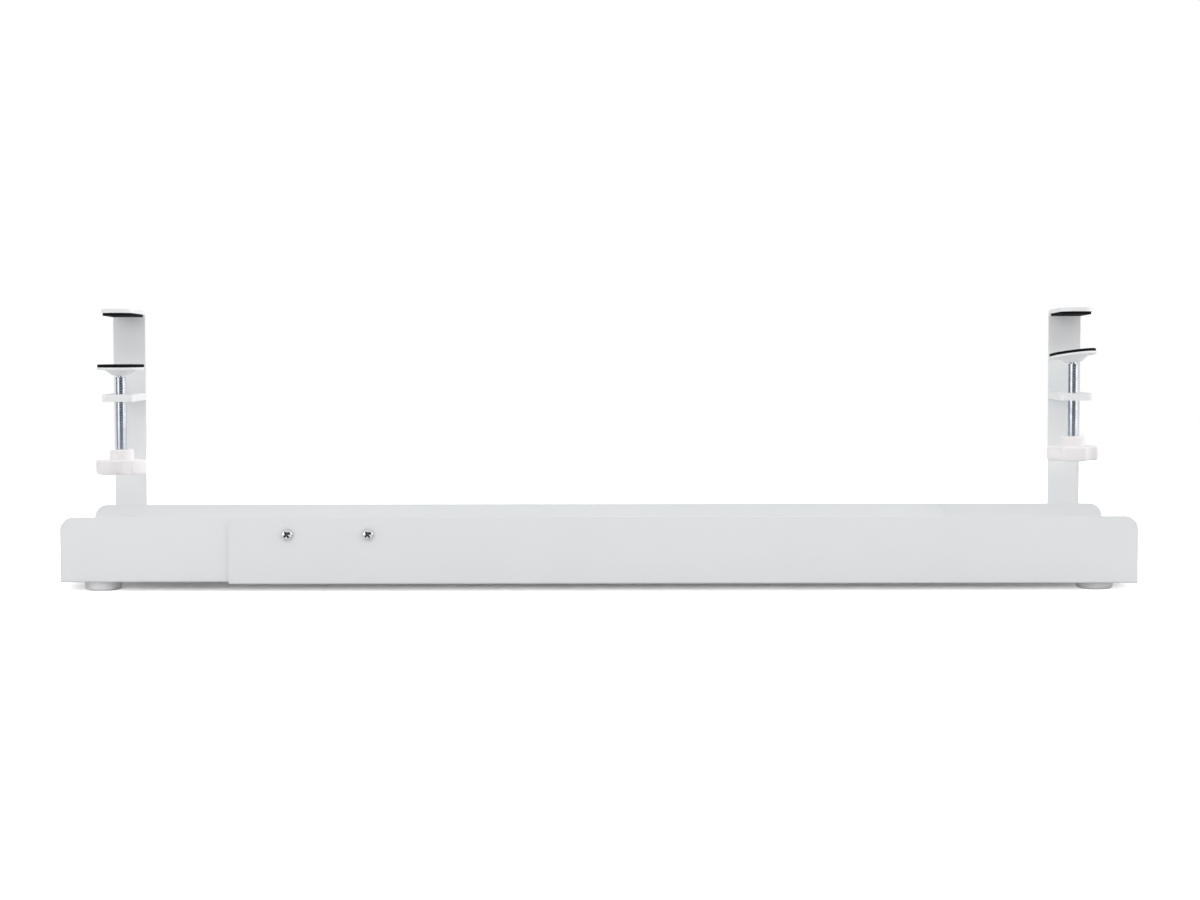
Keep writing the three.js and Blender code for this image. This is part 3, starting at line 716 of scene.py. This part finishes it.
def foot(side, row):
    """Round disc foot, well rounded where it meets the floor, with a faintly hollow sole."""
    low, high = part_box(f"{side}_{row}_foot")
    radius = (high.x - low.x) / 2
    height = high.z - low.z
    outline = [(0, FOOT_HOLLOW), (radius - FOOT_HOLLOW_INSET, FOOT_HOLLOW), (radius - FOOT_RIM_INSET, 0)]
    outline += arc(radius - FOOT_EDGE, FOOT_EDGE, FOOT_EDGE, 270, 360, 8)
    outline += arc(radius - FOOT_TOP_EDGE, height - FOOT_TOP_EDGE, FOOT_TOP_EDGE, 0, 90, 3)
    outline += [(0, height)]
    bm = lathe(outline, 72)
    centre = (low + high) / 2
    bm.transform(Matrix.Translation((centre.x, centre.y, low.z)))
    name = f"{side}_{row}_disc_foot"
    new_piece(name, finish_bmesh(bm, name), FOOT, BODY[side], (f"{side}_{row}_foot",))


for side in SIDES:
    for row in FOOT_ROWS:
        foot(side, row)


# ---------------------------------------------------------------- screws, washers and nuts

SHANK_RADIUS = 2.48 * MM
SHANK_CHAMFER = (0.6 * MM, 0.1 * MM, 0.5 * MM)
SHANK_LEAD = 0.9 * MM
SHANK_COLLAR = 0.3 * MM
SHANK_PITCH = 0.8 * MM
SHANK_GROOVE = 0.4 * MM
HEAD_RELIEF = 0.15 * MM
HEAD_RIM_SHARE = 0.3

LOCK_HEAD = (4.1 * MM, 2.8 * MM)
COLUMN_HEAD = (4.75 * MM, 2.75 * MM)

CROSS_REACH = 2.5 * MM
CROSS_THIN = 0.66 * MM
CROSS_DEPTH = 2.2 * MM
CROSS_TURN = 38
CROSS_BOTTOM_SHARE = 0.8
CROSS_MOUTH_SHARE = 1.3
HEX_KEY_HALF = 1.5 * MM
HEX_KEY_DEPTH = 1.6 * MM
CUTTER_RISE = 1 * MM

NUT_ACROSS_FLATS = 8 * MM
NUT_FACE_RADIUS = 4.05 * MM
NUT_CORNER_RADIUS = 5 * MM
NUT_CORNER_DROP = 0.5 * MM
NUT_BORE_RADIUS = 2.6 * MM
NUT_MOUTH_RADIUS = 3.0 * MM
NUT_MOUTH_DEPTH = 0.45 * MM
CUTTER_RADIUS = 6 * MM

WASHER_RADIUS = 5 * MM
WASHER_BORE_RADIUS = 2.75 * MM
WASHER_EDGE = 0.15 * MM


def facing(front):
    """Turns a piece built along +Z to face along -Y at the front, or +Y at the rear."""
    return Matrix.Rotation(math.radians(90 if front else -90), 4, "X")


def dome(radius, height, rim):
    """The outline of a domed head, from the top of its straight rim to its crown."""
    points = arc(0, 0, 1, 0, 90, 9)
    return [(radius * c, rim + (height - rim) * s) for c, s in points]


def cross_cutter(top):
    """A tapering cross-shaped recess, turned as the screws happen to stand."""
    corners = []
    for quarter in range(4):
        spin = Matrix.Rotation(math.radians(90 * quarter + CROSS_TURN), 2)
        for corner in ((CROSS_THIN, CROSS_THIN), (CROSS_REACH, CROSS_THIN), (CROSS_REACH, -CROSS_THIN)):
            corners.append(spin @ Vector(corner))
    corners.sort(key=lambda corner: math.atan2(corner.y, corner.x))
    bottom = [(c.x * CROSS_BOTTOM_SHARE, c.y * CROSS_BOTTOM_SHARE, top - CROSS_DEPTH) for c in corners]
    mouth = [(c.x * CROSS_MOUTH_SHARE, c.y * CROSS_MOUTH_SHARE, top + CUTTER_RISE) for c in corners]
    return stack([bottom, mouth])


def hex_cutter(top):
    """A hexagon socket."""
    corners = hexagon(HEX_KEY_HALF / math.cos(math.pi / 6))
    return prism(corners, top - HEX_KEY_DEPTH, top + CUTTER_RISE)


def domed_screw(node, head, front, recess, material, body):
    """A domed screw with a chamfered, grooved shank and a driver recess."""
    low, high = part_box(node)
    head_radius, head_height = head
    shank = high.y - low.y - head_height
    tip_in, tip_out, tip_rise = SHANK_CHAMFER
    outline = [
        (0, -shank), (SHANK_RADIUS - tip_in, -shank), (SHANK_RADIUS - tip_out, -shank + tip_rise),
    ]
    z = -shank + SHANK_LEAD
    while z < -SHANK_LEAD:
        outline += [(SHANK_RADIUS, z), (SHANK_RADIUS - SHANK_GROOVE, z + SHANK_GROOVE)]
        z += SHANK_PITCH
    outline += [(SHANK_RADIUS, -SHANK_COLLAR), (SHANK_RADIUS, 0), (head_radius - HEAD_RELIEF, 0)]
    outline += dome(head_radius, head_height, head_height * HEAD_RIM_SHARE)
    bm = lathe(outline, 56)
    mesh = cut(finish_bmesh(bm, node), recess(head_height), node)
    smooth_mesh(mesh, SCREW_SMOOTH_ANGLE)
    centre = (low + high) / 2
    seat = low.y + head_height if front else high.y - head_height
    mesh.transform(Matrix.Translation((centre.x, seat, centre.z)) @ facing(front))
    new_piece(f"{node}_detail", mesh, material, body, (node,))


def nut(node, front, body):
    """A hexagon nut with turned-down corners and a chamfered hole."""
    low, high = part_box(node)
    centre = (low + high) / 2
    thickness = high.y - low.y
    base, top = -CUT_CLEARANCE, thickness + CUT_CLEARANCE
    mesh = finish_bmesh(prism(hexagon(NUT_ACROSS_FLATS / math.sqrt(3)), 0, thickness), node)
    corners = lathe([
        (NUT_FACE_RADIUS, base), (NUT_CORNER_RADIUS, NUT_CORNER_DROP),
        (NUT_CORNER_RADIUS, thickness - NUT_CORNER_DROP), (NUT_FACE_RADIUS, top),
        (CUTTER_RADIUS, top), (CUTTER_RADIUS, base),
    ], 64, close=True)
    bore = lathe([
        (0, base), (NUT_MOUTH_RADIUS, base), (NUT_BORE_RADIUS, NUT_MOUTH_DEPTH),
        (NUT_BORE_RADIUS, thickness - NUT_MOUTH_DEPTH), (NUT_MOUTH_RADIUS, top), (0, top),
    ], 48)
    for cutter in (corners, bore):
        mesh = cut(mesh, cutter, node)
    smooth_mesh(mesh)
    seat = high.y if front else low.y
    mesh.transform(Matrix.Translation((centre.x, seat, centre.z)) @ facing(front))
    new_piece(f"{node}_detail", mesh, ZINC, body, (node,))


def washer(node, body):
    """A plain washer with its edges broken."""
    low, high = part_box(node)
    half = (high.y - low.y) / 2
    section = [
        (WASHER_BORE_RADIUS, WASHER_BORE_RADIUS + WASHER_EDGE, -1),
        (WASHER_RADIUS, WASHER_RADIUS - WASHER_EDGE, -1),
        (WASHER_RADIUS, WASHER_RADIUS - WASHER_EDGE, 1),
        (WASHER_BORE_RADIUS, WASHER_BORE_RADIUS + WASHER_EDGE, 1),
    ]
    outline = []
    for index, (wall, face, way) in enumerate(section):
        corner = [(wall, way * (half - WASHER_EDGE)), (face, way * half)]
        outline += reversed(corner) if index % 2 else corner
    bm = lathe(outline, 56, close=True)
    bm.transform(Matrix.Translation((low + high) / 2) @ facing(True))
    new_piece(f"{node}_detail", finish_bmesh(bm, node), ZINC, body, (node,))


for number in (1, 2):
    domed_screw(
        f"lock_screw_{number}", LOCK_HEAD, True, cross_cutter, CHROME, "outer_section",
    )
    washer(f"lock_washer_{number}", "outer_section")
    nut(f"lock_nut_{number}", True, "outer_section")

for side in SIDES:
    for number in (1, 2):
        domed_screw(
            f"{side}_column_bolt_{number}", COLUMN_HEAD, False, hex_cutter, ZINC,
            BODY[side],
        )
        nut(f"{side}_column_nut_{number}", False, BODY[side])


# ---------------------------------------------------------------- floor

FLOOR_HALF = 2.0
FLOOR_DROP = 0.2 * MM
FLOOR_WHITE = 1.0
FLOOR_BOUNCE = 0.6
FLOOR_BLEED = 0.2
FLOOR_GLOW = 0.02
# Painted light: the camera-only glow of the floor clear of the tray, fading in over the shadow reach.
FLOOR_PAINTED_GLOW = 0.6
FLOOR_SHADOW_INSET = (0.02, 0.04)
FLOOR_SHADOW_REACH = 0.06


def vector_math(tree, operation, value):
    """A vector maths node on a vector output."""
    node = tree.nodes.new("ShaderNodeVectorMath")
    node.operation = operation
    tree.links.new(value, node.inputs[0])
    return node


def floor_material(shaded_half):
    """White translucent acrylic that bleeds light in under the tray, with a painted glow seen by the
    camera that rises away from the tray and paints the edge of its shadow.
    """
    material, tree, shader = node_material("studio_floor")
    shader.subsurface_method = "BURLEY"
    rays = tree.nodes.new("ShaderNodeLightPath")
    seen = rays.outputs["Is Camera Ray"]
    colour_from(tree, shader, seen, [(0.0, FLOOR_BOUNCE), (1.0, FLOOR_WHITE)])
    shader.inputs["Roughness"].default_value = 0.8
    shader.inputs["Specular IOR Level"].default_value = 0.2
    translucency(shader, weight=1.0, radius=(1, 1, 1), scale=FLOOR_BLEED)
    shader.inputs["Emission Color"].default_value = (1, 1, 1, 1)
    coords = tree.nodes.new("ShaderNodeTexCoord")
    mirrored = vector_math(tree, "ABSOLUTE", coords.outputs["Object"])
    outside = vector_math(tree, "SUBTRACT", mirrored.outputs["Vector"])
    outside.inputs[1].default_value = shaded_half
    clipped = vector_math(tree, "MAXIMUM", outside.outputs["Vector"])
    reach = vector_math(tree, "LENGTH", clipped.outputs["Vector"])
    # Painted shadow: the glow fades to nothing towards the tray's footprint.
    fade = tree.nodes.new("ShaderNodeMapRange")
    fade.interpolation_type = "SMOOTHSTEP"
    fade.inputs["From Max"].default_value = FLOOR_SHADOW_REACH
    fade.inputs["To Max"].default_value = FLOOR_PAINTED_GLOW
    tree.links.new(reach.outputs["Value"], fade.inputs["Value"])
    painted_glow = tree.nodes.new("ShaderNodeMath")
    painted_glow.operation = "MULTIPLY_ADD"
    painted_glow.inputs[2].default_value = FLOOR_GLOW
    tree.links.new(fade.outputs["Result"], painted_glow.inputs[0])
    tree.links.new(seen, painted_glow.inputs[1])
    tree.links.new(painted_glow.outputs[0], shader.inputs["Emission Strength"])
    return material


floor_mesh = bpy.data.meshes.new("studio_floor")
floor_mesh.from_pydata(
    [(-FLOOR_HALF, -FLOOR_HALF, 0), (FLOOR_HALF, -FLOOR_HALF, 0),
     (FLOOR_HALF, FLOOR_HALF, 0), (-FLOOR_HALF, FLOOR_HALF, 0)],
    [], [(0, 1, 2, 3)],
)
floor = bpy.data.objects.new("studio_floor", floor_mesh)
floor.location.z = -FLOOR_DROP
bpy.context.scene.collection.objects.link(floor)
tray_low, tray_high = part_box("outer_tray")
inset_x, inset_y = FLOOR_SHADOW_INSET
floor_mesh.materials.append(floor_material((tray_high.x - inset_x, tray_high.y - inset_y, 0)))


# ---------------------------------------------------------------- light

# The white tent round the object. A turn of 0 and 1 is straight in front of it (-Y), 0.25 its
# left, 0.5 behind it and 0.75 its right; each stop is a share of the turn and a brightness.
DIM = 0.13
SIDE_WHITE = 3.1
SEAM = 0.3
BACK_WHITE = 0.85
TOP_WHITE = 1.28
GLOSS_SHARE = 0.58
BANDS = (
    (0.000, DIM), (0.080, DIM), (0.100, SIDE_WHITE), (0.200, SIDE_WHITE), (0.215, DIM),
    (0.360, DIM), (0.400, BACK_WHITE), (0.620, BACK_WHITE), (0.670, SIDE_WHITE),
    (0.720, SIDE_WHITE), (0.732, SEAM), (0.744, SEAM), (0.756, SIDE_WHITE), (0.845, SIDE_WHITE),
    (0.865, DIM), (1.000, DIM),
)
BAND_TOP = (0.30, 0.60)
SHADE_TINT = (0.88, 0.95, 1.15)


def band_colour(value):
    """A band's colour: the dim stretches are faintly blue."""
    if value == DIM:
        return tuple(value * tint for tint in SHADE_TINT)
    return (value, value, value)


def mix_with(tree, factor, colour, other):
    """The colour, blended towards a plain other colour by the factor."""
    node = tree.nodes.new("ShaderNodeMix")
    node.data_type = "RGBA"
    node.inputs["B"].default_value = other
    tree.links.new(factor, node.inputs["Factor"])
    tree.links.new(colour, node.inputs["A"])
    return node.outputs["Result"]


def studio_world():
    """A white tent with bright sides and a dim opening round the camera."""
    world = bpy.data.worlds.new("studio")
    bpy.context.scene.world = world
    world.use_nodes = True
    tree = world.node_tree
    background = tree.nodes["Background"]
    coords = tree.nodes.new("ShaderNodeTexCoord")
    split = tree.nodes.new("ShaderNodeSeparateXYZ")
    tree.links.new(coords.outputs["Generated"], split.inputs["Vector"])
    azimuth = tree.nodes.new("ShaderNodeMath")
    azimuth.operation = "ARCTAN2"
    tree.links.new(split.outputs["X"], azimuth.inputs[0])
    tree.links.new(split.outputs["Y"], azimuth.inputs[1])
    turn = tree.nodes.new("ShaderNodeMapRange")
    turn.inputs["From Min"].default_value = -math.pi
    turn.inputs["From Max"].default_value = math.pi
    tree.links.new(azimuth.outputs[0], turn.inputs["Value"])
    bands = ramp(tree, turn.outputs[0], [(share, band_colour(value)) for share, value in BANDS])
    height = tree.nodes.new("ShaderNodeMapRange")
    height.interpolation_type = "SMOOTHSTEP"
    height.inputs["From Min"].default_value = BAND_TOP[0]
    height.inputs["From Max"].default_value = BAND_TOP[1]
    tree.links.new(split.outputs["Z"], height.inputs["Value"])
    sky = mix_with(tree, height.outputs["Result"], bands, (TOP_WHITE, TOP_WHITE, TOP_WHITE, 1))
    rays = tree.nodes.new("ShaderNodeLightPath")
    seen = mix_with(tree, rays.outputs["Is Camera Ray"], sky, (1, 1, 1, 1))
    tree.links.new(seen, background.inputs["Color"])
    strength = tree.nodes.new("ShaderNodeMapRange")
    strength.inputs["To Min"].default_value = 1.0
    strength.inputs["To Max"].default_value = GLOSS_SHARE
    tree.links.new(rays.outputs["Is Glossy Ray"], strength.inputs["Value"])
    tree.links.new(strength.outputs["Result"], background.inputs["Strength"])


studio_world()


# ---------------------------------------------------------------- camera

LENS = 69.1
SENSOR_WIDTH = 36
CAMERA_YAW = math.radians(0.156)
CAMERA_PITCH = math.radians(3.075)
CAMERA_ROLL = math.radians(-0.071)
CAMERA_X = -0.004
CAMERA_DISTANCE = 1.702
CAMERA_HEIGHT = 0.1965


def camera_matrix():
    """A camera in front of the tray's front wall; yaw is to the right and pitch is down."""
    forward = Vector((
        math.sin(CAMERA_YAW) * math.cos(CAMERA_PITCH),
        math.cos(CAMERA_YAW) * math.cos(CAMERA_PITCH),
        -math.sin(CAMERA_PITCH),
    ))
    right = Vector((math.cos(CAMERA_YAW), -math.sin(CAMERA_YAW), 0))
    up = right.cross(forward)
    rolled_right = math.cos(CAMERA_ROLL) * right + math.sin(CAMERA_ROLL) * up
    rolled_up = -math.sin(CAMERA_ROLL) * right + math.cos(CAMERA_ROLL) * up
    front_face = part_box("outer_tray")[0].y
    eye = Vector((CAMERA_X, front_face - CAMERA_DISTANCE, CAMERA_HEIGHT))
    columns = (rolled_right, rolled_up, -forward, eye)
    return Matrix([[column[axis] for column in columns] for axis in range(3)] + [(0, 0, 0, 1)])


camera_data = bpy.data.cameras.new("camera")
camera_data.sensor_width = SENSOR_WIDTH
camera_data.lens = LENS
camera = bpy.data.objects.new("camera", camera_data)
bpy.context.scene.collection.objects.link(camera)
camera.matrix_world = camera_matrix()
bpy.context.scene.camera = camera
bpy.context.scene.view_settings.view_transform = "Standard"
